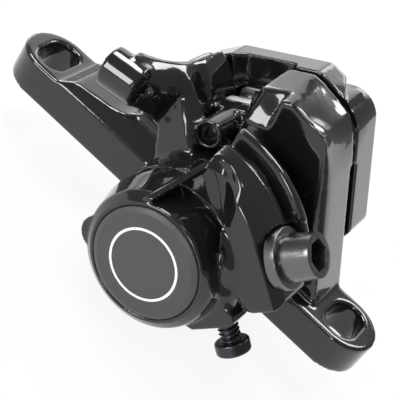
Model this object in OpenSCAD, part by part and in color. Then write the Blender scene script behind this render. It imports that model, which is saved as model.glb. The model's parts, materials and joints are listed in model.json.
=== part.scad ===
// Cable-pulled bicycle disc brake caliper for two posts, with a ball-ramp actuator.
// Frame: X along the line of the two bolt slots, +Y inboard to the wheel, +Z out along the bolts.
// The origin lies midway between the slots, on the mounting face under the ears.

/* [Mounting ears] */
// Distance between the two bolt slots
post_spacing = 74; // [70:0.5:78]
// Width of a bolt slot
slot_w = 6.6; // [6:0.1:7.2]
// Length of a bolt slot, end to end, across the caliper
slot_len = 9.6; // [8.5:0.1:10.4]
// Width of an ear
ear_w = 13.8; // [13:0.1:15]
// Thickness of an ear
ear_t = 7; // [6:0.1:8]

/* [Body block] */
// Lean of the block about Y against the ear line, in degrees
block_tilt = 31; // [28:0.5:34]
// Place of the actuator axis along X
axis_x = 6; // [4:0.5:8]
// Height of the actuator axis over the mounting face
axis_z = 6; // [5:0.5:7]
// Reach of the block on the pinch-bolt side of the axis
block_right = 22.3; // [21:0.1:24]
// Reach of the block on the casing-stop side of the axis
block_left = 12.8; // [12.4:0.1:14]
// Height of the bridge over the axis
block_top = 27.2; // [26.4:0.1:28.5]
// Outboard reach of the block's front face from the bolt line
front_w = 3.6; // [3.2:0.1:4.2]
// Fall of the bridge top from the seam to the front face
top_fall = 1.8; // [1:0.1:2.4]
// Inboard reach of the inner half from the bolt line
inner_y = 18.6; // [18:0.1:20]
// Thickness of the bridge beam beside the window
beam_t = 4.6; // [3.5:0.1:5]

/* [Rotor slot] */
// Distance of the rotor's mid-plane inboard of the bolt line
rotor_y = 9.3; // [9.1:0.1:9.5]
// Width of the rotor slot
rotor_gap = 2.6; // [2.4:0.1:2.9]
// Outer radius of the rotor
rotor_r = 80; // [78:0.5:82]
// Distance from the actuator axis down to the rotor's centre
rotor_drop = 67; // [66:0.5:69]
// Radial room beyond the rotor's edge
rotor_room = 1.2; // [0.8:0.1:2]
// Open seam between the halves above the rotor
seam_gap = 1.2; // [0.8:0.1:1.6]

/* [Pads] */
// Width of a pad's backing plate
pad_w = 22; // [20:0.5:23]
// Height of a pad's backing plate below its tab
pad_h = 21; // [19:0.5:22]
// Height of the plate's top edge over the axis
pad_top = 11.5; // [10.5:0.1:12]
// Thickness of a backing plate
plate_t = 1.8; // [1.6:0.1:2]
// Thickness of a friction lining
lining_t = 1.7; // [1.4:0.1:1.8]
// Margin of the backing plate round its lining
lining_margin = 0.8; // [0.4:0.1:1.5]
// Gap between the two linings at rest
lining_gap = 2.3; // [2.2:0.1:2.5]
// Clearance round a pad in its pocket
pad_clear = 0.4; // [0.3:0.05:0.6]
// Width of the tab that hangs a pad on its axle
tab_w = 8.4; // [7.5:0.1:9]
// Height of the tab's top edge over the axis
tab_top = 20.4; // [20.2:0.1:20.8]

/* [Pad axle and spring] */
// Radius of the pad axle
axle_r = 1.9; // [1.6:0.05:2]
// Offset of the pad axle from the actuator axis along the block
axle_t = 1; // [0.5:0.1:1.5]
// Height of the pad axle over the actuator axis
axle_h = 17.8; // [17.4:0.1:18]
// Outer radius of the tube that carries the axle
axle_tube_r = 2.7; // [2.5:0.1:3]
// Outboard reach of that tube from the bolt line
axle_tube_w = 8; // [7:0.1:8.5]
// Thickness of the sheet of the pad spring
leaf_t = 0.5; // [0.4:0.05:0.6]

/* [Actuator] */
// Outer radius of the actuator barrel
barrel_r = 14.2; // [13.8:0.1:14.6]
// Outboard reach of the barrel from the bolt line
barrel_w = 16.5; // [16:0.1:16.8]
// Radius of the ramp chamber
chamber_r = 10.4; // [10:0.1:10.8]
// Radius of the ramp discs
ramp_r = 9.6; // [9:0.1:9.8]
// Thickness of a ramp disc
ramp_t = 2.6; // [2.4:0.1:3]
// Number of ramp balls
ball_n = 3; // [3:1:5]
// Radius of a ramp ball
ball_r = 1.9; // [1.7:0.05:2]
// Radius of the circle that the balls run on
ball_pitch_r = 6.5; // [6.4:0.1:6.7]
// Radius of the spindle
spindle_r = 5; // [4.6:0.1:5.2]
// Wall of the spindle bush
bush_wall = 1.4; // [1:0.1:1.6]
// Radius of the wire of the return spring
wire_r = 0.55; // [0.4:0.05:0.6]
// Mean radius of the return spring
coil_r = 9.9; // [9.6:0.1:10.2]
// Turns of the return spring
coil_turns = 2.5; // [2:0.25:2.75]
// Rise of the return spring in one turn
coil_pitch = 1.6; // [1.55:0.05:1.75]

/* [Lever arm] */
// Radius of the lever hub at its front rim
hub_front_r = 11.7; // [11.4:0.1:12.2]
// Radius of the lever hub at its back
hub_back_r = 14.2; // [13.6:0.1:14.4]
// Outboard reach of the hub's front rim from the bolt line
hub_w = 26.6; // [26.2:0.1:27.2]
// Running gap between the barrel and the hub
hub_gap = 0.5; // [0.4:0.05:0.7]
// Radius of the floor of the cable groove
groove_r = 20.3; // [19.8:0.1:20.8]
// Outboard place of the middle of the cable groove
groove_w = 13.5; // [13.2:0.1:13.8]
// Width of the cable groove at its floor
groove_t = 1.9; // [1.6:0.1:2.2]
// Radius of the back flange of the groove
back_flange_r = 23.9; // [23.4:0.1:24.4]
// Radius of the front flange of the groove
front_flange_r = 22.2; // [21.6:0.1:22.8]
// Radius of the outer edge of the sector's front face
front_face_r = 20.3; // [19.8:0.1:20.8]
// Outboard place of the sector's front face
sector_w = 21; // [20.4:0.1:21.6]
// Reach of the lever's straight foot below the end of the groove
foot_len = 13; // [12.5:0.1:13.5]
// Angle of the sector's upper end over the block's long axis, in degrees
sector_high = 67; // [64:1:70]

/* [Cap and fasteners] */
// Radius of the hub cap
cap_r = 10.5; // [10:0.1:10.7]
// Rise of the cap's face over the hub's rim
cap_rise = 0.6; // [0.3:0.1:1]
// Radius of the pinch bolt's thread
pinch_r = 3; // [2.5:0.1:3]
// Radius of the pinch bolt's head
pinch_head_r = 4.3; // [4:0.1:4.6]
// Height of the pinch bolt's head
pinch_head_h = 5.4; // [4.5:0.1:6]
// Radius of the clamp washer
washer_r = 5.5; // [5:0.1:5.8]
// Thickness of the clamp washer
washer_t = 2.2; // [1.8:0.1:2.6]
// Direction of the pinch bolt over the block's long axis, in degrees
pinch_angle = 21.5; // [18:0.5:25]
// Radius of the spring-tension screw
screw_r = 2; // [1.8:0.1:2]
// Radius of the spring-tension screw's head
screw_head_r = 3.2; // [3:0.1:3.8]
// Length of screw that shows under the lever
screw_out = 3.2; // [2:0.1:4]
// Radius of the bolts that join the halves
bolt_r = 3; // [2.5:0.1:3]
// Radius of the pad adjuster screw in the inner half
adjuster_r = 7; // [6.5:0.1:7.4]

/* [Cable stop] */
// Outer radius of the casing stop
stop_r = 4; // [3.7:0.1:4.3]
// Radius of the casing's seat
casing_r = 2.6; // [2.5:0.05:2.8]
// Depth of the casing's seat
casing_deep = 6; // [5:0.5:7]
// Radius of the hole for the inner wire
wire_hole_r = 1.1; // [0.9:0.05:1.3]
// Rise of the casing stop against the ear line, in degrees
stop_tilt = 8; // [6:0.5:10]
// Distance of the stop's open end from the point above the axis
stop_reach = 26; // [25:0.5:27]

/* [Hidden] */
$fn = 72;
gloss_black = [0.07, 0.07, 0.08];
satin_black = [0.16, 0.16, 0.17];
steel = [0.62, 0.62, 0.63];
// Radial running fit, and the clearance between pieces that move apart
fit = 0.05;
clear = 0.3;
// Overlap of cutters past the faces that they cut
past = 1;

// Places along the actuator axis are counted outboard from the bolt line
seam_w = -rotor_y;
outer_end_w = seam_w + seam_gap / 2;
inner_start_w = seam_w - seam_gap / 2;
inner_w = -inner_y;
outer_lining_w = seam_w + lining_gap / 2;
outer_plate_w = outer_lining_w + lining_t;
outer_back_w = outer_plate_w + plate_t;
outer_floor_w = outer_back_w + clear;
inner_lining_w = seam_w - lining_gap / 2;
inner_plate_w = inner_lining_w - lining_t;
inner_back_w = inner_plate_w - plate_t;
inner_floor_w = inner_back_w - clear;
notch_deep = 1.8;
beam_w = inner_start_w - notch_deep;

// Actuator stack, from the barrel's front wall inwards
barrel_wall = 7.3;
thrust_t = 0.7;
thrust_run = 0.1;
ball_gap = 2;
track_r = ball_r + 0.12;
shoulder_w = barrel_w - barrel_wall;
spindle_back_w = shoulder_w - thrust_t - thrust_run;
spindle_face_w = spindle_back_w - ramp_t;
ball_w = spindle_face_w - ball_gap / 2;
ramp_face_w = spindle_face_w - ball_gap;
ramp_back_w = ramp_face_w - ramp_t;
pilot_r = 3.4;
stem_r = 3;
push_disc_r = 8;
push_disc_t = 2.2;
key_w = 3;
key_reach = 1.8;
bush_r = spindle_r + fit + bush_wall;
bush_w = barrel_w - 0.9;
pocket_in_r = bush_r + 1.85;
pocket_out_r = coil_r + wire_r + 1.1;
pocket_w = shoulder_w + 1.6;
coil_w = pocket_w + wire_r + 0.15;
seal_in_r = pocket_out_r + 0.35;
seal_out_r = seal_in_r + 1.4;
seal_deep = 0.5;

// Lever places
hub_back_w = barrel_w + hub_gap;
hub_room = 5.2;
hub_floor_w = hub_w - hub_room;
cap_floor_w = hub_w - 1.9;
cap_wall = 1.2;
nut_room_r = 7.4;
hub_washer_t = 0.6;
hub_nut_h = 2.2;
hub_thread_r = 0.6 * spindle_r;
hub_nut_r = 1.92 * hub_thread_r;
hub_lug_r = 3.4;
sector_in_r = barrel_r + 0.8;
sector_back_w = groove_w - 3.3;
neck_w = hub_back_w + 1.6;
pinch_w = groove_w + pinch_r + 0.4;
pinch_run = 5.1;
foot_low = -foot_len;
pinch_deep = groove_r - sector_in_r - 0.1;
lap_angle = 2;
tail_angle = 14;
flange_w = hub_back_w + 5.4;
screw_w = hub_back_w + 2.7;
screw_angle = -71.5;
screw_exit = [12.9, -10.8];
screw_deep = 5.5;
screw_head_h = 2.6;

// Places in the block's face, as distance along the block and height over the axis
axle_c = [axle_t, axle_h];
bolt_c = [[16.6, 16.2], [-8.6, 17.5]];
bolt_head_r = 4.6;
hex_key_r = 0.967 * bolt_r;
bolt_head_h = 4;
bolt_sink = 3.4;
bolt_deep = 8;
joint_r = 4.8;
window_left = -4;
window_right = 8.6;
window_floor = axle_h - axle_tube_r + 0.4;
ledge_w = 0;
pad_bottom = pad_top - pad_h;
tab_left = axle_t - tab_w / 2;
tab_right = axle_t + tab_w / 2;
pocket_bottom = -barrel_r - 3;

// Arm of the casing stop
stop_len = 7.4;
stop_base_x = axis_x - groove_r * sin(stop_tilt) - (stop_reach - stop_len) * cos(stop_tilt);
arm_top = 27.4;
arm_back_y = -outer_end_w - 0.6;
pillar_w = sector_back_w - clear;
pillar_back_w = 4.8;
pillar_lean = 9.4;

// Rounded outlines: each corner is given as x, y and its radius
function unit(v) = v / norm(v);
function corner(a, b, c, r, n) =
    r <= 0 ? [b] :
    let (u = unit(a - b), v = unit(c - b), half = acos(u * v) / 2)
    let (o = b + unit(u + v) * r / sin(half), s = b + u * r / tan(half), e = b + v * r / tan(half))
    let (from = atan2(s.y - o.y, s.x - o.x), to = atan2(e.y - o.y, e.x - o.x))
    let (turn = (to - from + 540) % 360 - 180)
    [for (i = [0:n]) o + r * [cos(from + turn * i / n), sin(from + turn * i / n)]];
function xy(p) = [p.x, p.y];
function soft(p) = let (m = len(p))
    [for (i = [0:m - 1]) each corner(xy(p[(i + m - 1) % m]), xy(p[i]), xy(p[(i + 1) % m]), p[i].z,
        ceil(3 + 2 * p[i].z))];
function polar(r, a) = r * [cos(a), sin(a)];

// Height in the block's face at which a line along the ears' plane z crosses distance t
function face_h(t, z) = (z - axis_z - t * sin(block_tilt)) / cos(block_tilt);

// Drawing planes: the leaning face of the block, the side of the ears, and the casing stop's axis
module face() {
    translate([axis_x, 0, axis_z]) rotate([0, -block_tilt, 0]) rotate([90, 0, 0]) children();
}
module side() {
    rotate([90, 0, 0]) children();
}
module on_stop() {
    foot = groove_r * [-sin(stop_tilt), cos(stop_tilt)];
    translate([axis_x + foot.x, -groove_w, axis_z + foot.y])
        rotate([0, -stop_tilt, 0]) rotate([0, -90, 0]) children();
}
module slab(w0, w1) {
    translate([0, 0, w0]) linear_extrude(w1 - w0) children();
}
module rod(r, w0, w1, c = [0, 0]) {
    translate([c.x, c.y, w0]) cylinder(r = r, h = w1 - w0);
}
module ring(r_in, r_out, w0, w1, c = [0, 0]) {
    difference() {
        rod(r_out, w0, w1, c);
        rod(r_in, w0 - past, w1 + past, c);
    }
}
module torus(r, tube_r, w) {
    translate([0, 0, w]) rotate_extrude() translate([r, 0]) circle(r = tube_r);
}

// Axes of the pinch bolt and of the tension screw, pointing out of the lever
module on_pinch() {
    seat = polar(groove_r, pinch_angle) + polar(pinch_run, pinch_angle - 90);
    translate([seat.x, seat.y, pinch_w]) rotate([0, 0, pinch_angle]) rotate([0, 90, 0]) children();
}
module on_screw() {
    translate([screw_exit.x, screw_exit.y, screw_w])
        rotate([0, 0, screw_angle]) rotate([0, 90, 0]) children();
}

// Cut that lets the block's top fall away to the front, along the line from p to q
module top_cut(p, q, fall) {
    along = q - p;
    translate([p.x, p.y, outer_end_w]) rotate([0, 0, atan2(along.y, along.x)])
        rotate([atan(fall / (front_w - outer_end_w)), 0, 0])
        translate([-2, -0.15, -past]) cube([norm(along) + 4, block_top, barrel_w - outer_end_w]);
}

// Outlines in the block's face
shoulder = [[block_right, 21.25], [13.6, block_top]];
module block_outline() {
    low = ear_t / 2;
    polygon(soft([
        [block_right, face_h(block_right, low), 0],
        [shoulder[0].x, shoulder[0].y, 6.2],
        [shoulder[1].x, shoulder[1].y, 2],
        [-8, block_top, 2],
        [-block_left + 2, block_top - 1.4, 2],
        [-block_left, block_top - 4, 1],
        [-block_left, face_h(-block_left, low), 0]]));
}
module window_outline(floor) {
    polygon(soft([
        [window_right + 0.5, block_top + 3, 0], [window_left - 2, block_top + 3, 0],
        [window_left + 1.2, floor + 3, 2], [window_left + 1.6, floor, 0.5],
        [tab_right - 0.6, floor, 1], [tab_right, floor + 3, 1],
        [window_right, block_top, 0]]));
}
module window_room() {
    slab(ledge_w, barrel_w) window_outline(window_floor);
    slab(outer_end_w - past, ledge_w + past) window_outline(axle_h + axle_tube_r - 0.2);
}
module pad_outline(grow = 0) {
    half = pad_w / 2 + grow;
    polygon(soft([
        [-half, pad_bottom - grow, 2.5], [half, pad_bottom - grow, 2.5],
        [half, pad_top + grow, 2.5], [tab_right + grow, pad_top + grow, 1],
        [tab_right + grow, tab_top + grow, 1.6], [tab_left - grow, tab_top + grow, 1.6],
        [tab_left - grow, pad_top + grow, 1], [-half, pad_top + grow, 2.5]]));
}
module pad_room(w0, w1) {
    slab(w0, w1) pad_outline(pad_clear);
    slab(w0, w1) translate([-pad_w / 2 - pad_clear, pocket_bottom])
        square([pad_w + 2 * pad_clear, pad_top - pocket_bottom - 3]);
}
module rotor_room() {
    translate([0, -rotor_drop, seam_w - rotor_gap / 2])
        cylinder(r = rotor_r + rotor_room, h = rotor_gap, $fn = 180);
}

// Outer half of the body
module ears() {
    end_x = post_spacing / 2;
    linear_extrude(ear_t) difference() {
        union() {
            translate([-end_x, -ear_w / 2]) square([post_spacing, ear_w]);
            for (x = [-end_x, end_x]) translate([x, 0]) circle(r = ear_w / 2);
        }
        for (x = [-end_x, end_x]) translate([x, 0]) {
            slot_run = slot_len - slot_w;
            translate([-slot_w / 2, -slot_run / 2]) square([slot_w, slot_run]);
            for (y = [-1, 1]) translate([0, y * slot_run / 2]) circle(r = slot_w / 2);
        }
    }
}
module ear_root() {
    // The left ear rises to the block in a hollow sweep, with a leaning outboard side
    intersection() {
        side() slab(-ear_w / 2, ear_w / 2) polygon(soft([
            [-34, 1, 0], [-34, ear_t - 0.2, 0], [-32.2, ear_t + 0.1, 1], [-29.2, ear_t + 1.9, 3],
            [-21, ear_t + 2.7, 10], [-18.2, ear_t + 3.4, 8], [-14.2, ear_t + 6.3, 3],
            [-13, ear_t + 9, 0], [-5, ear_t + 9, 0], [-5, 1, 0]]));
        rotate([90, 0, 90]) translate([0, 0, -35]) linear_extrude(33) polygon([
            [-ear_w / 2, 0], [-ear_w / 2, ear_t], [-ear_w / 2 + 3.4, ear_t + 4.5],
            [-front_w, ear_t + 9], [ear_w / 2, ear_t + 9], [ear_w / 2, 0]]);
    }
}
module stop_arm() {
    // Arm from the block's upper left corner out to the casing stop, with a flat bowed top
    intersection() {
        translate([0, 0, 8]) linear_extrude(arm_top - 8) polygon(soft([
            [-20, -groove_w + 2.6, 1], [-19.6, -groove_w, 0], [stop_base_x, -groove_w - 1, 0.5],
            [-11.5, -10.6, 2], [-9.4, -front_w, 1], [-7, 0, 0], [-7, arm_back_y, 0],
            [-12.9, arm_back_y, 0], [-13.7, 4, 6], [-14.6, -2, 6], [-16.8, -7, 6]]));
        rotate([90, 0, 90]) translate([0, 0, -24]) linear_extrude(20) polygon(soft([
            [9, 8, 0], [9, arm_top + past, 0], [-18, arm_top + past, 0], [-18, 20.8, 0], [-11, 18.4, 3],
            [-front_w, 12, 0]]));
    }
}
module pillar() {
    // Wall from the barrel up to the arm, beside the window
    difference() {
        slab(pillar_back_w, pillar_w) polygon(soft([
            [-8.6, 8, 0], [-0.9, 8, 0], [-0.9, 14, 0], [-1.3, 19.4, 8], [-1.7, 22.8, 4], [-3.2, 26.6, 0.6],
            [-5, 26.6, 0], [-8.6, 22.5, 0]]));
        translate([-12, barrel_r, pillar_w]) rotate([-pillar_lean, 0, 0]) cube([14, 2 * barrel_r, 5]);
    }
}
module arm_cut() {
    // The arm's bowed top leans to the front, and then slopes down to the pillar
    translate([-15.5, -11.5, arm_top - 0.6]) rotate([0, 0, 58.4]) {
        rotate([14, 0, 0]) translate([-7, -3, 0]) cube([29, 20, 8]);
        rotate([40, 0, 0]) translate([-3, -12, 0]) cube([13, 12.5, 8]);
    }
}
module outer_body() {
    color(gloss_black) difference() {
        union() {
            ears();
            ear_root();
            difference() {
                union() {
                    difference() {
                        stop_arm();
                        face() window_room();
                    }
                    face() pillar();
                }
                arm_cut();
            }
            on_stop() rod(stop_r, stop_reach - stop_len, stop_reach);
            face() {
                difference() {
                    slab(outer_end_w, front_w) block_outline();
                    window_room();
                    top_cut([-block_left, block_top], shoulder[1], top_fall);
                    top_cut(shoulder[1], shoulder[0], 0.4 * top_fall);
                }
                rod(barrel_r, outer_end_w, barrel_w);
                rod(axle_tube_r, outer_floor_w, axle_tube_w, axle_c);
                for (c = bolt_c) rod(joint_r, outer_end_w - seam_gap / 2, outer_end_w, c);
            }
        }
        on_stop() rod(casing_r, stop_reach - casing_deep, stop_reach + past);
        on_stop() rod(wire_hole_r, 0, stop_reach);
        face() {
            pad_room(outer_end_w - past, outer_floor_w);
            rotor_room();
            rod(chamber_r, outer_floor_w - past, shoulder_w);
            rod(bush_r, shoulder_w - past, barrel_w + past);
            ring(pocket_in_r, pocket_out_r, pocket_w, barrel_w + past);
            ring(seal_in_r, seal_out_r, barrel_w - seal_deep, barrel_w + past);
            key_room();
            rod(axle_r + fit, outer_floor_w - past, axle_tube_w + past, axle_c);
            for (c = bolt_c) rod(bolt_r + fit, outer_end_w - seam_gap, outer_end_w + bolt_deep + clear, c);
        }
    }
}
module key_room() {
    reach = ramp_r + key_reach + clear;
    slab(outer_floor_w - past, ramp_face_w + clear) square([key_w + 2 * clear, 2 * reach], center = true);
}

// Inner half of the body
module inner_outline() {
    polygon(soft([
        [-13.6, -5, 2], [-11.4, pad_bottom, 1.5], [12, pad_bottom, 2], [18.2, -7.4, 2],
        [block_right, -3, 2], [block_right, block_top - 4.2, 5.5], [-9, block_top - 4.2, 3],
        [-13.6, 18, 3]]));
}
module beam_outline() {
    end = shoulder[0] + 0.23 * (shoulder[1] - shoulder[0]);
    polygon(soft([
        [end.x, 17, 0], [end.x, end.y, 1.5], [shoulder[1].x, shoulder[1].y, 3],
        [-4.5, block_top, 2], [-10.5, block_top - 2.2, 2], [-12.8, 17, 0]]));
}
module beam_end() {
    // Slanting cut across the right end of the bridge beam
    translate([0, block_top - 4.2, 0]) rotate([-90, 0, 0]) linear_extrude(block_top) polygon([
        [block_right - 2.6, -inner_start_w - past], [block_right - 6.8, -inner_w],
        [block_right + past, -inner_w], [block_right + past, -inner_start_w - past]]);
}
module window_notch() {
    // Recess of the window in the bridge beam, with one slanting corner
    translate([0, tab_top + pad_clear, 0]) rotate([-90, 0, 0]) linear_extrude(block_top) polygon([
        [window_left, -inner_start_w - past], [window_left, -inner_start_w],
        [window_left + 2.5, -beam_w], [window_right, -beam_w],
        [window_right + 0.6, -inner_start_w - past]]);
}
module inner_body() {
    color(gloss_black) face() difference() {
        union() {
            slab(inner_w, inner_start_w) inner_outline();
            difference() {
                slab(beam_w - beam_t, inner_start_w) beam_outline();
                beam_end();
            }
            for (c = bolt_c) rod(joint_r, inner_start_w, inner_start_w + seam_gap / 2, c);
        }
        window_notch();
        pad_room(inner_floor_w, inner_start_w + past);
        rotor_room();
        rod(adjuster_r + fit, inner_w - past, inner_floor_w + past);
        ring(adjuster_r - past, adjuster_r + 1.3, inner_w + 1.2, inner_w + 2.6);
        rod(axle_r + fit, inner_w - past, inner_floor_w + past, axle_c);
        for (c = bolt_c) {
            rod(bolt_r + fit, inner_w - past, inner_start_w + seam_gap, c);
            rod(bolt_head_r + clear, inner_w - past, inner_w + bolt_sink, c);
        }
    }
}
module body_bolts() {
    color(steel) face() for (c = bolt_c) difference() {
        union() {
            rod(bolt_r, inner_w + bolt_sink, outer_end_w + bolt_deep, c);
            rod(bolt_head_r, inner_w + bolt_sink - bolt_head_h, inner_w + bolt_sink, c);
        }
        translate([c.x, c.y, inner_w + bolt_sink - bolt_head_h - past])
            cylinder(r = hex_key_r, h = 2.6 + past, $fn = 6);
    }
}

// Pads, their axle and spring
module pad_axle() {
    color(steel) face() difference() {
        union() {
            rod(axle_r, inner_w - 1.8, 2, axle_c);
            rod(axle_r - 0.4, inner_w - 2.2, inner_w - 1.8, axle_c);
        }
        ring(axle_r - 0.4, axle_r + past, inner_w - 0.9, inner_w - 0.2, axle_c);
        translate([axle_c.x, axle_c.y, 0.5]) cylinder(r = 1.2, h = 1.5 + past, $fn = 6);
    }
}
module snap_clip() {
    color(steel) face() translate([axle_c.x, axle_c.y, inner_w - 0.85]) rotate([0, 0, 130])
        rotate_extrude(angle = 280) translate([axle_r - 0.35, 0]) square([2, 0.6]);
}
module pad_plate(w0) {
    difference() {
        slab(w0, w0 + plate_t) pad_outline();
        rod(axle_r + clear, w0 - past, w0 + plate_t + past, axle_c);
    }
}
module lining(w0) {
    half = pad_w / 2 - lining_margin;
    low = pad_bottom + lining_margin;
    high = pad_top - lining_margin;
    slab(w0, w0 + lining_t) polygon(soft([
        [-half, low, 2.5], [half, low, 2.5], [half, high, 2.5], [-half, high, 2.5]]));
}
module outer_pad_plate() { color(steel) face() pad_plate(outer_plate_w); }
module outer_pad_lining() { color(satin_black) face() lining(outer_lining_w); }
module inner_pad_plate() { color(steel) face() pad_plate(inner_back_w); }
module inner_pad_lining() { color(satin_black) face() lining(inner_plate_w); }
module pad_spring() {
    // Two leaves on the axle between the tabs, joined over the top
    half = 1.5;
    low = pad_top + 0.6;
    high = tab_top - 0.3;
    color(steel) face() difference() {
        slab(seam_w - half, seam_w + half) polygon(soft([
            [tab_left + 0.6, low, 0.8], [tab_right - 0.6, low, 0.8], [tab_right - 1.6, high, 1],
            [tab_left + 1.6, high, 1]]));
        slab(seam_w - half + leaf_t, seam_w + half - leaf_t)
            translate([-tab_w, low - past]) square([2 * tab_w + past, high - leaf_t - low + past]);
        rod(axle_r + fit, seam_w - half - past, seam_w + half + past, axle_c);
    }
}

// Actuator
module push_rod() {
    color(steel) face() {
        rod(push_disc_r, outer_back_w, outer_back_w + push_disc_t);
        rod(stem_r, outer_back_w, ramp_face_w - 0.6);
    }
}
module push_ramp() {
    color(steel) face() difference() {
        union() {
            rod(ramp_r, ramp_back_w, ramp_face_w);
            slab(ramp_back_w, ramp_face_w) square([key_w, 2 * (ramp_r + key_reach)], center = true);
        }
        torus(ball_pitch_r, track_r, ball_w);
        rod(stem_r + fit, ramp_back_w - past, ramp_face_w - 0.6 + fit);
    }
}
module ball_cage() {
    half = ball_gap / 2 - clear - 0.2;
    color(satin_black) face() difference() {
        ring(pilot_r + fit, ramp_r - 0.4, ball_w - half, ball_w + half);
        for (i = [0:ball_n - 1])
            rod(ball_r + fit, ball_w - ball_gap, ball_w + ball_gap, polar(ball_pitch_r, i * 360 / ball_n));
    }
}
module ramp_balls() {
    color(steel) face() for (i = [0:ball_n - 1]) {
        c = polar(ball_pitch_r, i * 360 / ball_n);
        translate([c.x, c.y, ball_w]) sphere(r = ball_r);
    }
}
module spindle() {
    color(steel) face() difference() {
        union() {
            rod(ramp_r, spindle_face_w, spindle_back_w);
            rod(pilot_r, ramp_face_w + clear, spindle_face_w);
            rod(spindle_r, spindle_back_w, hub_back_w);
            translate([0, 0, hub_back_w]) cylinder(r = spindle_r, h = hub_floor_w - hub_back_w, $fn = 6);
            rod(hub_thread_r, hub_floor_w, hub_floor_w + hub_washer_t + hub_nut_h);
        }
        torus(ball_pitch_r, track_r, ball_w);
    }
}
module thrust_washer() {
    color(steel) face() ring(spindle_r + clear, ramp_r - 0.2, shoulder_w - thrust_t, shoulder_w);
}
module spindle_bush() {
    color([0.72, 0.55, 0.25]) face() ring(spindle_r + fit, bush_r, shoulder_w, bush_w);
}
// Torsion spring in the barrel's front pocket, as one tube swept along a helix
coil_steps = round(coil_turns * 8);
coil_sides = 6;
function coil_point(i, s) =
    let (a = 360 * i / 8, b = 360 * s / coil_sides, r = coil_r + wire_r * cos(b))
    [r * cos(a), r * sin(a), coil_w + coil_pitch * i / 8 + wire_r * sin(b)];
module return_spring() {
    points = [for (i = [0:coil_steps], s = [0:coil_sides - 1]) coil_point(i, s)];
    walls = [for (i = [0:coil_steps - 1], s = [0:coil_sides - 1])
        let (a = i * coil_sides + s, b = i * coil_sides + (s + 1) % coil_sides)
        each [[a, a + coil_sides, b], [b, a + coil_sides, b + coil_sides]]];
    last = coil_steps * coil_sides;
    ends = [for (s = [1:coil_sides - 2]) each [[0, s, s + 1], [last, last + s + 1, last + s]]];
    echo(return_spring_self_gap = coil_pitch - 2 * wire_r);
    color(steel) face() polyhedron(points, concat(walls, ends));
}
module dust_seal() {
    color([0.05, 0.05, 0.05]) face()
        ring(seal_in_r, seal_out_r, barrel_w - seal_deep, hub_back_w - clear);
}

// Lever arm
module lever_section() {
    // Groove for the cable between two flanges, and the sector's front face
    polygon(soft([
        [sector_in_r, sector_back_w + 0.2, 0.4], [back_flange_r, sector_back_w, 0.5],
        [back_flange_r, groove_w - 1.6, 0.4], [groove_r, groove_w - groove_t / 2, 0.6],
        [groove_r, groove_w + groove_t / 2, 0.6], [front_flange_r, groove_w + 1.6, 0.5],
        [front_face_r + 0.6, sector_w - 1.6, 1.5], [front_face_r - 1.4, sector_w, 0.8],
        [sector_in_r + 0.8, sector_w, 1], [sector_in_r, neck_w, 0.4]]));
}
module flange_tail() {
    // Back flange alone, where it runs on behind the clamp washer
    polygon([
        [groove_r - 1.5, sector_back_w + 0.1], [back_flange_r - 0.2, sector_back_w + 0.1],
        [back_flange_r - 0.2, groove_w - 1.7], [groove_r - 1.5, groove_w - 1.2]]);
}
module swing(from, to) {
    rotate([0, 0, from]) rotate_extrude(angle = to - from) children();
}
module foot_outline(inner) {
    // Straight foot below the groove, seen along the axis, with the pinch bolt's seat on its right
    polygon(soft([
        [inner, 0, 0], [inner, -2.6, 0], [inner + 2.2, foot_low + 1.6, 1], [inner + 3.4, foot_low, 1.5],
        [groove_r, foot_low, 1.5], [groove_r, 0, 0]]));
}
module foot() {
    rotate([0, 0, pinch_angle]) difference() {
        union() {
            slab(hub_back_w, sector_w) foot_outline(hub_front_r - 1);
            slab(sector_back_w + 1, hub_back_w) foot_outline(hub_front_r - 1);
        }
        rod(sector_in_r + 0.1, sector_back_w, hub_back_w);
        // Leaning front edge beside the seat
        translate([groove_r, 0, sector_w - 2.2]) rotate([0, -33, 0])
            translate([0, 2 * foot_low, -past]) cube([4, -3 * foot_low, 6]);
    }
}
module hub_fairing() {
    // Leaning web from the hub's front rim down to the top of the sector
    intersection() {
        slab(hub_back_w, hub_w) polygon(soft([
            [-3, 10, 0], [-0.2, 12.3, 0], [8.6, 19.2, 0.5], [9.8, 17.4, 0.5], [8.6, 12.4, 1], [5, 9, 0]]));
        translate([0, 0, hub_back_w])
            cylinder(r1 = groove_r + 0.4, r2 = hub_front_r + 0.5, h = hub_w - 0.4 - hub_back_w);
    }
}
valley_edge = [[9.2, 14.2], [10, 11.4], [10.9, 9.1], [11.8, 6.4], [12.7, 3.6]];
module sector_ridge() {
    // Inner edge of the sector's front face, along the valley round the hub
    slab(hub_back_w, sector_w) polygon(concat([[9.3, 15.6]], valley_edge,
        [[15.8, 4.5], [15.8, 7], [13.5, 10.5], [11, 13.5]]));
}
module valley() {
    // Hollow between the hub and the sector, that leaves a thin edge of the fairing
    difference() {
        slab(neck_w, hub_w + past) polygon(concat([[0.4, 11.5], [7.6, 17.2], [8.6, 16.4]], valley_edge,
            [[13.3, 0.6], [14.2, -2.6], [13.2, -6], [12.75, -6.2], [12.15, 1.1], [9, 3]]));
        translate([0, 0, neck_w - past])
            cylinder(r1 = hub_front_r + 0.7, r2 = cap_r + 0.6, h = hub_w - neck_w + 2 * past);
    }
}
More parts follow.
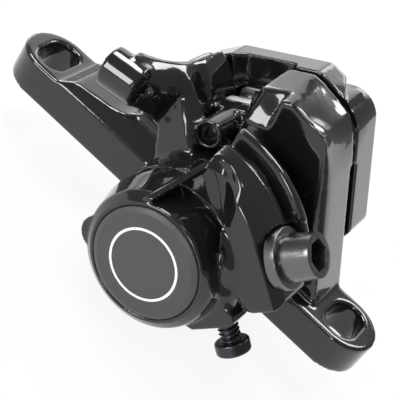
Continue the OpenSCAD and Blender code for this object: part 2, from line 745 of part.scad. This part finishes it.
module lever_arm() {
    color(gloss_black) face() difference() {
        union() {
            rotate_extrude() polygon(soft([
                [0, hub_back_w, 0], [hub_back_r, hub_back_w, 0], [hub_back_r, hub_back_w + 3, 8],
                [hub_front_r + 1.1, hub_w - 1.3, 1.5], [cap_r + 0.6, hub_w, 0.2], [0, hub_w, 0]]));
            rod(hub_lug_r, hub_back_w, hub_w - 1, polar(hub_back_r - hub_lug_r - 0.1, 168));
            hub_fairing();
            swing(pinch_angle - lap_angle, sector_high) lever_section();
            swing(pinch_angle - tail_angle, pinch_angle) flange_tail();
            sector_ridge();
            foot();
            slab(hub_back_w, neck_w) polygon(soft([
                [-4, 10.5, 0], [-0.4, 12, 3], [3.5, 15, 0], [7.2, 18.1, 1], [9.5, 18.6, 1],
                [16, 7.4, 0], [19, 0, 0], [19.4, -7, 2], [16.4, -8.4, 1], [5, -5, 0]]));
            slab(hub_back_w, flange_w) polygon(soft([
                [2, -8, 0], [4.6, -11.9, 2], [7.3, -12.9, 1], [16.4, -9.4, 1.5], [10.8, -2.2, 1],
                [6, -2, 0]]));
        }
        translate([0, 0, hub_back_w - past])
            cylinder(r = spindle_r + fit, h = hub_floor_w - hub_back_w + 2 * past, $fn = 6);
        rod(nut_room_r, hub_floor_w, hub_w);
        rod(cap_r + fit, cap_floor_w, hub_w + past);
        valley();
        on_pinch() rod(pinch_r + fit, -pinch_deep, past);
        on_pinch() rod(washer_r + clear, 0, washer_t + pinch_head_h);
        on_screw() rod(screw_r + fit, -screw_deep, past);
    }
}
module hub_washer() {
    color(steel) face() ring(hub_thread_r + fit, nut_room_r - 0.6, hub_floor_w, hub_floor_w + hub_washer_t);
}
module hub_nut() {
    low = hub_floor_w + hub_washer_t;
    color(steel) face() difference() {
        translate([0, 0, low]) cylinder(r = hub_nut_r, h = hub_nut_h, $fn = 6);
        rod(hub_thread_r + fit, low - past, low + hub_nut_h + past);
    }
}
module hub_cap() {
    top = hub_w + cap_rise;
    color(satin_black) face() rotate_extrude() polygon(soft([
        [0, top - cap_wall, 0], [0, top, 0], [cap_r - 1, top - 0.1, 0.6], [cap_r, hub_w, 0.4],
        [cap_r, cap_floor_w, 0], [cap_r - cap_wall, cap_floor_w, 0],
        [cap_r - cap_wall, top - cap_wall, 0]]));
}
module pinch_bolt() {
    color(steel) face() on_pinch() difference() {
        union() {
            rod(pinch_r, -pinch_deep + clear, washer_t);
            translate([0, 0, washer_t])
                cylinder(r1 = pinch_head_r, r2 = pinch_head_r - 0.4, h = pinch_head_h);
        }
        translate([0, 0, washer_t + pinch_head_h - 3]) cylinder(r = hex_key_r, h = 3 + past, $fn = 6);
    }
}
module pinch_washer() {
    color(steel) face() on_pinch() ring(pinch_r + fit, washer_r, 0, washer_t);
}
module tension_screw() {
    color(steel) face() on_screw() difference() {
        union() {
            rod(screw_r, -screw_deep + 1, screw_out);
            rod(screw_head_r, screw_out, screw_out + screw_head_h);
        }
        for (a = [0, 90]) rotate([0, 0, a]) translate([-0.45, -2, screw_out + screw_head_h - 1.4])
            cube([0.9, 4, 1.4 + past]);
    }
}

// Pad adjuster of the inner half
module pad_adjuster() {
    color(satin_black) face() difference() {
        rod(adjuster_r, inner_w - 0.8, inner_back_w - clear);
        translate([0, 0, inner_w - 0.8 - past]) cylinder(r = hex_key_r, h = 3 + past, $fn = 6);
    }
}
module adjuster_ring() {
    color([0.05, 0.05, 0.05]) face() ring(adjuster_r + fit, adjuster_r + 1.2, inner_w + 1.25, inner_w + 2.55);
}

outer_body();
inner_body();
body_bolts();
pad_axle();
snap_clip();
outer_pad_plate();
outer_pad_lining();
inner_pad_plate();
inner_pad_lining();
pad_spring();
push_rod();
push_ramp();
ball_cage();
ramp_balls();
spindle();
thrust_washer();
spindle_bush();
return_spring();
dust_seal();
lever_arm();
hub_washer();
hub_nut();
hub_cap();
pinch_bolt();
pinch_washer();
tension_screw();
pad_adjuster();
adjuster_ring();
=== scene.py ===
# Looks of the disc brake caliper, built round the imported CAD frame, in metres.
import json
import math

import bpy
from mathutils import Euler, Matrix, Vector

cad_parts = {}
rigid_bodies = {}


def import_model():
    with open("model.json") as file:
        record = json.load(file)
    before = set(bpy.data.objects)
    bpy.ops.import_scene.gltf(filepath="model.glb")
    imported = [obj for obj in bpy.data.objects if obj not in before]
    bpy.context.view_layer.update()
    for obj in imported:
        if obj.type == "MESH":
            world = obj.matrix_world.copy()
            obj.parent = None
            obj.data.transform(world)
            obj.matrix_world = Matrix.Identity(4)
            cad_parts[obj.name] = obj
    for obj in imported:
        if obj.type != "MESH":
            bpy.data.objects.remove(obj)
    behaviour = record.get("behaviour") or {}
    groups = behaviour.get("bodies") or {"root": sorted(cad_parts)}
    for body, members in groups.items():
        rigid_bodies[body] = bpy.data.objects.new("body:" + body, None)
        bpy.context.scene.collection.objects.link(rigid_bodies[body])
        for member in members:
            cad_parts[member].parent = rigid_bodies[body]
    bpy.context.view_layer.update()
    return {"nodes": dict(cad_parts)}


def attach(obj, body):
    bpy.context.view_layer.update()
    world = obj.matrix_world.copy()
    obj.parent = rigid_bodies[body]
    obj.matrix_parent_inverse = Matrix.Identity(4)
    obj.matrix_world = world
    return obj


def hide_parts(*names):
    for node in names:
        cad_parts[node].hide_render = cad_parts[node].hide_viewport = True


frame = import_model()
nodes = frame["nodes"]
scene = bpy.context.scene
MM = 0.001

# The block leans about Y: ALONG runs along it, UP over the actuator's axis, and w is counted outboard
LEAN = math.radians(31)
AXIS = Vector((6, 0, 6)) * MM
ALONG = Vector((math.cos(LEAN), 0, math.sin(LEAN)))
UP = Vector((-math.sin(LEAN), 0, math.cos(LEAN)))
OUTBOARD = Vector((0, -1, 0))


def at(t, r, w):
    """Point at t along the block, r over the actuator's axis and w outboard, all in mm."""
    return AXIS + (ALONG * t + UP * r + OUTBOARD * w) * MM


def block_place(point):
    """The t, r and w of a point, in mm."""
    off = (point - AXIS) / MM
    return off.dot(ALONG), off.dot(UP), off.dot(OUTBOARD)


# Modelling helpers

def pick(obj):
    """Only obj is selected, and it is the active object."""
    bpy.ops.object.select_all(action="DESELECT")
    obj.select_set(True)
    bpy.context.view_layer.objects.active = obj


def modify(obj, kind, **settings):
    """Adds a modifier with these settings and applies it."""
    pick(obj)
    modifier = obj.modifiers.new(kind.lower(), kind)
    for name, value in settings.items():
        setattr(modifier, name, value)
    bpy.ops.object.modifier_apply(modifier=modifier.name)


def combine(piece, tool, operation):
    """Cuts the tool out of the piece, or joins it on, and removes the tool."""
    modify(piece, "BOOLEAN", operation=operation, solver="EXACT", object=tool)
    bpy.data.objects.remove(tool)


def bake_place():
    """Moves the active object's place, turn and scale into its mesh."""
    bpy.ops.object.transform_apply(location=True, rotation=True, scale=True)


def settle(obj, centre, *axes):
    """Puts a unit shape, made in mm, at a centre, with these vectors as its three axes."""
    obj.matrix_world = Matrix.Translation(centre) @ Matrix(axes).transposed().to_4x4()
    bake_place()


def copy_of(node, name):
    """A merged copy of a CAD node's mesh, free of the node's own body and name."""
    pick(nodes[node])
    bpy.ops.object.duplicate()
    piece = bpy.context.object
    piece.name = name
    bpy.ops.object.parent_clear(type="CLEAR_KEEP_TRANSFORM")
    for key in list(piece.keys()):
        del piece[key]
    bpy.ops.object.mode_set(mode="EDIT")
    bpy.ops.mesh.select_all(action="SELECT")
    bpy.ops.mesh.remove_doubles(threshold=0.002 * MM)
    bpy.ops.mesh.normals_make_consistent(inside=False)
    bpy.ops.object.mode_set(mode="OBJECT")
    return piece


def stand_in(piece, node, body, finish):
    """The finished piece takes the node's place, rides on its body and has one material."""
    piece.data.materials.clear()
    piece.data.materials.append(finish)
    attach(piece, body)
    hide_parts(node)


def facet(piece, foot, lean, rise, width, low, high):
    """Takes a flat facet off a piece: it faces lean, and its right side runs up from foot along rise.

    All three are in the block's t, r and w. The facet reaches width to the left of that side, and from low to
    high along it, in mm.
    """
    thick = 6
    to_frame = Matrix((ALONG, UP, OUTBOARD)).transposed()
    out = (to_frame @ Vector(lean)).normalized()
    up = to_frame @ Vector(rise)
    up = (up - out * up.dot(out)).normalized()
    side = up.cross(out)
    centre = at(*foot) + (side * -width / 2 + up * (low + high) / 2 + out * thick / 2) * MM
    bpy.ops.mesh.primitive_cube_add(size=MM)
    cutter = bpy.context.object
    settle(cutter, centre, side * width, up * (high - low), out * thick)
    combine(piece, cutter, "DIFFERENCE")


def cone_on(piece, t, r, back, front, sides):
    """Grows a round cone out of the piece, along w: back and front are its radius and place, in mm.

    Each side (along t, along r, how far) trims it flush with a flat side of the block.
    """
    bpy.ops.mesh.primitive_cone_add(vertices=96, radius1=back[0] * MM, radius2=front[0] * MM,
                                    depth=(front[1] - back[1]) * MM, rotation=(math.pi / 2, 0, 0),
                                    location=at(t, r, (back[1] + front[1]) / 2))
    cone = bpy.context.object
    bake_place()
    bpy.ops.object.mode_set(mode="EDIT")
    for along, up, far in sides:
        bpy.ops.mesh.select_all(action="SELECT")
        bpy.ops.mesh.bisect(plane_co=at(along * far, up * far, 0), plane_no=ALONG * along + UP * up,
                            use_fill=True, clear_outer=True)
    bpy.ops.object.mode_set(mode="OBJECT")
    combine(piece, cone, "UNION")


def swell(piece, place, reach):
    """Fills a hollow of the piece with a blob that reaches that far along t, r and w, in mm."""
    bpy.ops.mesh.primitive_uv_sphere_add(segments=48, ring_count=24, radius=MM)
    blob = bpy.context.object
    settle(blob, at(*place), ALONG * reach[0], UP * reach[1], OUTBOARD * reach[2])
    combine(piece, blob, "UNION")


def near(piece, name, place, reach, weigh):
    """A vertex group round a place: weigh gives the weight at a share of the reach."""
    group = piece.vertex_groups.new(name=name)
    for vertex in piece.data.vertices:
        off = [(p - m) / d for p, m, d in zip(block_place(vertex.co), place, reach)]
        share = math.sqrt(sum(o * o for o in off))
        if share < 1:
            group.add([vertex.index], min(weigh(share), 1.0), "REPLACE")
    return group.name


def cast(piece, node, body, finish, voxel, rounds, domes=(), dents=()):
    """A cast piece: every edge and corner of the form is softened as by a mould and a coat of paint.

    Each dome is a place (t, r, w), its reach in mm along the three, and the rounds of extra softening there.
    Each dent is a place, its reach, how far it moves the skin in mm, and whether along Y or along its normal.
    """
    most_triangles = 190000
    modify(piece, "REMESH", mode="VOXEL", voxel_size=voxel * MM)
    modify(piece, "SMOOTH", factor=0.5, iterations=rounds)
    for number, (place, reach, depth, way) in enumerate(dents):
        group = near(piece, "dent_%d" % number, place, reach, lambda share: (1 - share * share) ** 2)
        modify(piece, "DISPLACE", direction=way, mid_level=0.0, strength=depth * MM, vertex_group=group)
    for number, (place, reach, more) in enumerate(domes):
        group = near(piece, "dome_%d" % number, place, reach, lambda share: 1.6 * (1 - share))
        modify(piece, "SMOOTH", factor=0.5, iterations=more, vertex_group=group)
    piece.vertex_groups.clear()
    triangles = sum(len(p.vertices) - 2 for p in piece.data.polygons)
    if triangles > most_triangles:
        modify(piece, "DECIMATE", ratio=most_triangles / triangles)
    pick(piece)
    bpy.ops.object.shade_smooth()
    stand_in(piece, node, body, finish)


def machined(node, name, body, finish, edge):
    """A turned or stamped piece: its sharp edges are broken by a small bevel, in mm."""
    sharp = math.radians(35)
    piece = copy_of(node, name)
    bpy.ops.object.mode_set(mode="EDIT")
    bpy.ops.mesh.select_all(action="SELECT")
    bpy.ops.mesh.dissolve_limited(angle_limit=math.radians(0.5))
    bpy.ops.object.mode_set(mode="OBJECT")
    modify(piece, "BEVEL", width=edge * MM, segments=3, limit_method="ANGLE", angle_limit=sharp,
           use_clamp_overlap=True)
    pick(piece)
    bpy.ops.object.shade_smooth_by_angle(angle=sharp)
    stand_in(piece, node, body, finish)


# Material helpers

def colour(text):
    """Linear colour from a hex sRGB one."""
    parts = [int(text[i:i + 2], 16) / 255 for i in (1, 3, 5)]
    return [c / 12.92 if c <= 0.04045 else ((c + 0.055) / 1.055) ** 2.4 for c in parts] + [1.0]


def add(tree, kind, inputs=None, **settings):
    """Adds a shader node: settings are its own, inputs are values or sockets to link."""
    node = tree.nodes.new("ShaderNode" + kind)
    for name, value in settings.items():
        setattr(node, name, value)
    for name, value in (inputs or {}).items():
        if isinstance(value, bpy.types.NodeSocket):
            tree.links.new(value, node.inputs[name])
        else:
            node.inputs[name].default_value = value
    return node


def reckon(tree, operation, first, second=None):
    """The result of a Math node on one or two values or sockets."""
    inputs = {0: first} if second is None else {0: first, 1: second}
    return add(tree, "Math", inputs, operation=operation).outputs["Value"]


def noise(tree, where, grain_mm, detail):
    """Noise with a grain of that size, as a socket."""
    texture = add(tree, "TexNoise", {"Vector": where, "Scale": 1 / (grain_mm * MM), "Detail": detail})
    return texture.outputs["Fac"]


def material(name, **values):
    """A material with a Principled shader, whose constants are set on its sockets."""
    made = bpy.data.materials.new(name)
    made.use_nodes = True
    shader = made.node_tree.nodes["Principled BSDF"]
    for key, value in values.items():
        shader.inputs[key.replace("_", " ")].default_value = value
    return made, made.node_tree, shader


def placed(tree, centre=(0, 0, 0), turn=(0, 0, 0)):
    """Object coordinates measured from a centre, and turned."""
    where = add(tree, "TexCoord").outputs["Object"]
    back = (Euler(turn).to_matrix() @ Vector(centre)) * -1
    return add(tree, "Mapping", {"Vector": where, "Location": back, "Rotation": turn}).outputs["Vector"]


def bumped(tree, shader, height, depth):
    """Joins a height of that depth, in mm, to the shader's normal."""
    bump = add(tree, "Bump", {"Height": height, "Distance": depth * MM, "Strength": 1.0})
    tree.links.new(bump.outputs["Normal"], shader.inputs["Normal"])
    return bump


def uneven(tree, shader, pattern, low, high):
    """Lets the roughness run from low to high with a pattern."""
    spread = add(tree, "MapRange", {"Value": pattern, "To Min": low, "To Max": high})
    tree.links.new(spread.outputs["Result"], shader.inputs["Roughness"])


# Materials

def gloss_enamel():
    """Black stoving enamel: a deep black under a wet clear skin, whose slow orange peel bends reflections."""
    made, tree, shader = material("gloss_black_enamel_baked_on_cast_aluminium", Base_Color=colour("#161617"),
                                  Roughness=0.16, Specular_IOR_Level=0.2,
                                  Coat_Weight=1.0, Coat_Roughness=0.03)
    skin = bumped(tree, shader, noise(tree, placed(tree), 1.6, 1.0), 0.012)
    tree.links.new(skin.outputs["Normal"], shader.inputs["Coat Normal"])
    return made


def moulded_cap():
    """Dark grey moulded ABS with a fine spark-eroded grain and one thin white printed ring."""
    ring_radius, half_line, front_y = 6.62 * MM, 0.24 * MM, -27.0 * MM
    made, tree, shader = material("dark_grey_abs_moulded_satin", Roughness=0.42)
    where = placed(tree, AXIS)
    flat = add(tree, "VectorMath", {0: where, 1: (1, 0, 1)}, operation="MULTIPLY").outputs["Vector"]
    radius = add(tree, "VectorMath", {0: flat}, operation="LENGTH").outputs["Value"]
    away = reckon(tree, "ABSOLUTE", reckon(tree, "SUBTRACT", radius, ring_radius))
    ring = reckon(tree, "LESS_THAN", away, half_line)
    face = add(tree, "SeparateXYZ", {"Vector": where})
    front = reckon(tree, "LESS_THAN", face.outputs["Y"], front_y)
    inked = reckon(tree, "MULTIPLY", ring, front)
    tint = add(tree, "Mix", {0: inked, "A": colour("#444445"), "B": colour("#f6f6f4")}, data_type="RGBA")
    tree.links.new(tint.outputs["Result"], shader.inputs["Base Color"])
    bumped(tree, shader, noise(tree, where, 0.3, 2.0), 0.01)
    return made


def turned_metal(name, tint, rough, ring_mm, centre, turn):
    """Turned metal: faint tool rings round its axis, which draw the highlight out into a band."""
    made, tree, shader = material(name, Base_Color=colour(tint), Roughness=rough, Metallic=1.0)
    where = placed(tree, centre, turn)
    rings = add(tree, "TexWave", {"Vector": where, "Scale": 1 / (ring_mm * MM) / 20, "Distortion": 0.4},
                bands_direction="Z")
    bumped(tree, shader, rings.outputs["Fac"], 0.004)
    uneven(tree, shader, noise(tree, where, 2.5, 3.0), rough * 0.8, rough * 1.25)
    return made


def stamped_steel(name, tint, rough, grain_mm):
    """Rolled and plated steel: a fine grain that makes its shine soft and a little uneven."""
    made, tree, shader = material(name, Base_Color=colour(tint), Roughness=rough, Metallic=1.0)
    grain = noise(tree, placed(tree), grain_mm, 3.0)
    uneven(tree, shader, grain, rough * 0.75, rough * 1.3)
    bumped(tree, shader, grain, 0.006)
    return made


def pressed_compound():
    """Friction compound: dark resin with pale and coppery specks, quite matt."""
    made, tree, shader = material("resin_bound_friction_compound_pressed", Roughness=0.9)
    specks = add(tree, "TexVoronoi", {"Vector": placed(tree), "Scale": 1 / (0.5 * MM)})
    ramp = add(tree, "ValToRGB", {"Fac": specks.outputs["Color"]})
    ramp.color_ramp.elements[0].color = colour("#3a3430")
    ramp.color_ramp.elements[1].color = colour("#7d6a58")
    tree.links.new(ramp.outputs["Color"], shader.inputs["Base Color"])
    bumped(tree, shader, specks.outputs["Distance"], 0.05)
    return made


def plain(name, tint, rough, grain_mm, depth_mm):
    """Moulded plastic or rubber: one colour with a fine matt grain."""
    made, tree, shader = material(name, Base_Color=colour(tint), Roughness=rough)
    bumped(tree, shader, noise(tree, placed(tree), grain_mm, 2.0), depth_mm)
    return made


# The pinch bolt's and the tension screw's places and their turns about Y, and the adjuster's turn about X
PINCH_PLACE = at(20, 3, 16.9)
PINCH_TURN = (0, math.radians(-37.5), 0)
SCREW_EXIT = at(12.9, -10.8, 19.7)
SCREW_TURN = math.radians(130.5)
ADJUSTER_TURN = (math.radians(90), 0, 0)

enamel = gloss_enamel()
cap_abs = moulded_cap()
black_chrome = turned_metal("black_chrome_on_turned_steel", "#707072", 0.27, 0.35, PINCH_PLACE, PINCH_TURN)
black_oxide = turned_metal("black_oxide_on_rolled_screw_steel", "#48484c", 0.3, 0.4, SCREW_EXIT,
                           (0, -SCREW_TURN, 0))
anodised = turned_metal("black_anodised_aluminium_turned", "#2c2c2f", 0.34, 0.4, AXIS, ADJUSTER_TURN)
zinc = stamped_steel("zinc_plated_steel_cold_formed", "#b4b5b8", 0.3, 0.4)
bright_steel = stamped_steel("bright_spring_steel_rolled", "#c4c4c6", 0.22, 0.3)
plate_steel = stamped_steel("satin_backing_plate_steel_stamped", "#dededf", 0.58, 0.35)
ground_steel = stamped_steel("hardened_steel_ground", "#a2a2a6", 0.18, 0.25)
bronze = stamped_steel("sintered_bronze_pressed", "#a98650", 0.45, 0.25)
compound = pressed_compound()
nylon = plain("black_nylon_cage_moulded", "#232323", 0.5, 0.3, 0.01)
nitrile = plain("black_nitrile_rubber_moulded", "#0d0d0d", 0.7, 0.25, 0.01)


# Cast pieces: places are in the block's t, r and w, in mm

BLOCK_SIDES = ((0, 1, 25.3), (1, 0, 22.3), (0.4266, 0.9045, 28.7))
RIGHT_LEAN = ((22.4, 27, -3), (7, 16, 16), -1.2, "NORMAL")


def outer_half():
    """The block's front ends above in a round crease, and leans back at its upper left."""
    piece = copy_of("outer_body", "outer_half_with_ears")
    cone_on(piece, 13.6, 15.6, back=(9.6, 0.6), front=(8.7, 3.6), sides=BLOCK_SIDES)
    facet(piece, foot=(11.27, 21.28, 2.5), lean=(0.1, 0.49, 0.865), rise=(0.34, 0.94, 0),
          width=6.2, low=-4.5, high=8)
    shoulder = ((20, 24, -3), (9, 8, 5.5), 100)
    front_edge = ((22, 6, 3.6), (5, 12, 6), 160)
    arm_top = ((-8, 28, 5), (8, 6, 10), 100)
    pillar_front = ((-5, 20, 9), (5, 8, 5), 60)
    pillar_lean = ((-5.5, 25, 9), (6, 11, 5), 1.2, "Y")
    facet_crown = ((8.3, 21.6, 2.4), (4.5, 5, 4), 0.3, "NORMAL")
    cast(piece, "outer_body", "caliper_body", enamel, voxel=0.375, rounds=5,
         domes=(shoulder, front_edge, arm_top, pillar_front), dents=(pillar_lean, RIGHT_LEAN, facet_crown))


def inner_half():
    """The inboard half with the bridge, whose right side leans in as the outer half's does."""
    piece = copy_of("inner_body", "inner_half_with_bridge")
    cast(piece, "inner_body", "caliper_body", enamel, voxel=0.25, rounds=8, dents=(RIGHT_LEAN,))


def cable_lever():
    """The hub flows into the sector through a smooth valley, and the sector's face sinks towards it."""
    piece = copy_of("lever_arm", "cable_lever")
    swell(piece, place=(12.9, 0, 19.3), reach=(2.2, 5, 3))
    swell(piece, place=(12.7, -4.6, 19.7), reach=(2.5, 3, 2.6))
    valley = ((12.4, -1, 21), (3.6, 10, 4.6), 250)
    sunk_face = ((10.2, 15, 21), (4.5, 9, 4), 2.5, "Y")
    cast(piece, "lever_arm", "lever", enamel, voxel=0.22, rounds=8,
         domes=(valley,), dents=(sunk_face,))


outer_half()
inner_half()
cable_lever()

# Turned and stamped pieces

machined("hub_cap", "hub_cap_disc", "lever", cap_abs, 0.2)
machined("pinch_bolt", "pinch_bolt_socket_head", "lever", black_chrome, 0.3)
machined("pinch_washer", "pinch_washer_flanged", "lever", black_chrome, 0.3)
machined("body_bolts", "body_bolt_pair", "caliper_body", zinc, 0.2)
machined("pad_axle", "pad_axle_pin", "caliper_body", zinc, 0.15)
machined("snap_clip", "snap_clip_wire", "caliper_body", bright_steel, 0.1)
machined("outer_pad_plate", "outer_pad_backing", "outer_pad", plate_steel, 0.15)
machined("inner_pad_plate", "inner_pad_backing", "inner_pad", plate_steel, 0.15)
machined("pad_spring", "pad_spring_leaf", "caliper_body", bright_steel, 0.1)
machined("pad_adjuster", "pad_adjuster_screw", "adjuster", anodised, 0.3)


# Tension screw, built on Z with its head upwards, in mm, and turned into its hole

CORE_RADIUS, CORE_LOW, CORE_HIGH = 1.6, -2.2, 3.4
HEAD_RADIUS, HEAD_LOW, HEAD_HIGH = 3.2, 3.2, 5.5
CROWN_INSET, CROWN_RISE, CROWN_BEVEL = 1.3, 0.3, 0.45
RECESS_SIZE, RECESS_HEIGHT = (3.6, 0.9, 2.4), 5.4
THREAD_RADIUS, THREAD_RIDGE, THREAD_PITCH, THREAD_TURNS, THREAD_LOW = 1.58, 0.42, 0.8, 4, -0.6


def on_z(name, radius, low, high):
    """A closed cylinder on the Z axis, in mm."""
    bpy.ops.mesh.primitive_cylinder_add(vertices=64, radius=radius * MM, depth=(high - low) * MM,
                                        location=(0, 0, (low + high) / 2 * MM))
    made = bpy.context.object
    made.name = name
    bake_place()
    return made


def screw_head():
    """A domed head with a cross recess."""
    head = on_z("head", HEAD_RADIUS, HEAD_LOW, HEAD_HIGH)
    pick(head)
    bpy.ops.object.mode_set(mode="EDIT")
    bpy.ops.mesh.select_mode(type="FACE")
    bpy.ops.mesh.select_all(action="DESELECT")
    bpy.ops.object.mode_set(mode="OBJECT")
    for face in head.data.polygons:
        face.select = face.normal.z > 0.9
    bpy.ops.object.mode_set(mode="EDIT")
    bpy.ops.mesh.inset(thickness=CROWN_INSET * MM)
    bpy.ops.transform.translate(value=(0, 0, CROWN_RISE * MM))
    bpy.ops.object.mode_set(mode="OBJECT")
    modify(head, "BEVEL", width=CROWN_BEVEL * MM, segments=4, limit_method="ANGLE",
           angle_limit=math.radians(15))
    for turned in (0, math.pi / 2):
        bpy.ops.mesh.primitive_cube_add(size=MM, location=(0, 0, RECESS_HEIGHT * MM), rotation=(0, 0, turned),
                                        scale=RECESS_SIZE)
        slot = bpy.context.object
        bake_place()
        combine(head, slot, "DIFFERENCE")
    return head


def screw_thread():
    """A three-sided ridge wound up the core, closed at both ends."""
    bpy.ops.mesh.primitive_circle_add(vertices=3, radius=THREAD_RIDGE * MM, fill_type="NOTHING",
                                      rotation=(math.pi / 2, math.pi / 2, 0),
                                      location=(THREAD_RADIUS * MM, 0, THREAD_LOW * MM))
    ridge = bpy.context.object
    bake_place()
    modify(ridge, "SCREW", axis="Z", screw_offset=THREAD_PITCH * MM, iterations=THREAD_TURNS, steps=48,
           render_steps=48)
    bpy.ops.object.mode_set(mode="EDIT")
    bpy.ops.mesh.select_all(action="SELECT")
    bpy.ops.mesh.fill_holes(sides=3)
    bpy.ops.mesh.normals_make_consistent(inside=False)
    bpy.ops.object.mode_set(mode="OBJECT")
    return ridge


def tension_screw():
    """Core, head and thread fused into one rolled screw."""
    screw = on_z("tension_screw_threaded", CORE_RADIUS, CORE_LOW, CORE_HIGH)
    head = screw_head()
    thread = screw_thread()
    pick(screw)
    head.select_set(True)
    thread.select_set(True)
    bpy.ops.object.join()
    modify(screw, "REMESH", mode="VOXEL", voxel_size=0.09 * MM)
    modify(screw, "SMOOTH", factor=0.5, iterations=2)
    screw.rotation_euler = (0, SCREW_TURN, 0)
    screw.location = SCREW_EXIT
    bake_place()
    bpy.ops.object.shade_smooth()
    stand_in(screw, "tension_screw", "tension", black_oxide)


tension_screw()

# CAD nodes that stay, each with its finish

kept = {"outer_pad_lining": compound, "inner_pad_lining": compound, "push_rod": ground_steel,
        "push_ramp": ground_steel, "ball_cage": nylon, "ramp_balls": ground_steel, "spindle": ground_steel,
        "thrust_washer": ground_steel, "spindle_bush": bronze, "return_spring": bright_steel,
        "dust_seal": nitrile, "hub_washer": zinc, "hub_nut": zinc, "adjuster_ring": nitrile}
for name, finish in kept.items():
    nodes[name].data.materials.clear()
    nodes[name].data.materials.append(finish)


# Floor and light

def whitened(tree, surface_colour, share):
    """White by that share for the camera and in reflections. The rest is lit, so that the shadow stays."""
    path = add(tree, "LightPath").outputs
    seen = reckon(tree, "MAXIMUM", path["Is Camera Ray"], path["Is Glossy Ray"])
    seen = reckon(tree, "MAXIMUM", seen, path["Is Transmission Ray"])
    part = reckon(tree, "MULTIPLY", seen, share)
    lit = add(tree, "BsdfDiffuse", {"Color": surface_colour}).outputs["BSDF"]
    white = add(tree, "Emission", {"Color": (1, 1, 1, 1), "Strength": 1.0}).outputs["Emission"]
    return add(tree, "MixShader", {0: part, 1: lit, 2: white}).outputs["Shader"]


def paper_floor(size, height):
    """A white paper floor just under the barrel."""
    bpy.ops.mesh.primitive_plane_add(size=size, location=(0, 0, height))
    floor = bpy.context.object
    floor.name = "floor"
    paper = bpy.data.materials.new("white_paper_floor")
    paper.use_nodes = True
    tree = paper.node_tree
    tree.nodes.clear()
    add(tree, "OutputMaterial", {"Surface": whitened(tree, colour("#f4f4f4"), 0.9)})
    floor.data.materials.append(paper)


def grey_room(strength):
    """An even dim light from all round."""
    world = bpy.data.worlds.new("studio")
    scene.world = world
    world.use_nodes = True
    back = world.node_tree.nodes["Background"]
    back.inputs["Color"].default_value = (1, 1, 1, 1)
    back.inputs["Strength"].default_value = strength


def softbox(name, place, width, height, radiance):
    """A soft lamp of that size, in metres, that faces the part. Its power gives it the wanted radiance."""
    part_middle = Vector((5, -5, 12)) * MM
    lamp = bpy.data.lights.new(name, "AREA")
    lamp.shape = "RECTANGLE"
    lamp.size = width
    lamp.size_y = height
    lamp.energy = math.pi * width * height * radiance
    holder = bpy.data.objects.new(name, lamp)
    scene.collection.objects.link(holder)
    holder.location = place
    holder.rotation_euler = (part_middle - Vector(place)).to_track_quat("-Z", "Y").to_euler()


paper_floor(6, -9 * MM)
grey_room(0.28)
softbox("left_top_box", (-0.30, 0.12, 0.52), 0.21, 0.20, 15)
softbox("front_left_box", (-0.285, -0.5, 0.2), 0.21, 0.23, 11.5)
softbox("back_box", (0.057, 0.405, 0.45), 0.2, 0.15, 10.5)
softbox("top_spot", (0.05, -0.06, 0.62), 0.1, 0.1, 13)
softbox("front_strip", (0.12, -0.57, 0.17), 0.06, 0.2, 15)
softbox("backdrop", (-0.6, 0.9, 0.38), 1.8, 0.7, 1.0)
softbox("back_strip", (-0.14, 0.8, 0.36), 0.31, 0.16, 2.3)
softbox("left_panel", (-0.68, 0.55, 0.22), 0.28, 0.2, 3.8)


# Camera: its lens, place and three directions are fitted to the outlines of the ears and slots in the photo

def photo_camera(lens, place, right, down, ahead):
    """A camera that looks ahead, with these directions in its picture."""
    eye = bpy.data.cameras.new("photo_view")
    eye.lens = lens
    eye.sensor_width = 36
    eye.clip_start = 0.01
    camera = bpy.data.objects.new("photo_view", eye)
    scene.collection.objects.link(camera)
    turn = Matrix((right, -down, -ahead)).transposed()
    camera.matrix_world = Matrix.Translation(place) @ turn.to_4x4()
    scene.camera = camera


photo_camera(113.65, (0.0402, -0.1904, 0.1426), right=Vector((0.725, 0.494, 0.48)),
             down=Vector((0.67, -0.343, -0.658)), ahead=Vector((-0.16, 0.799, -0.579)))
scene.view_settings.view_transform = "Standard"
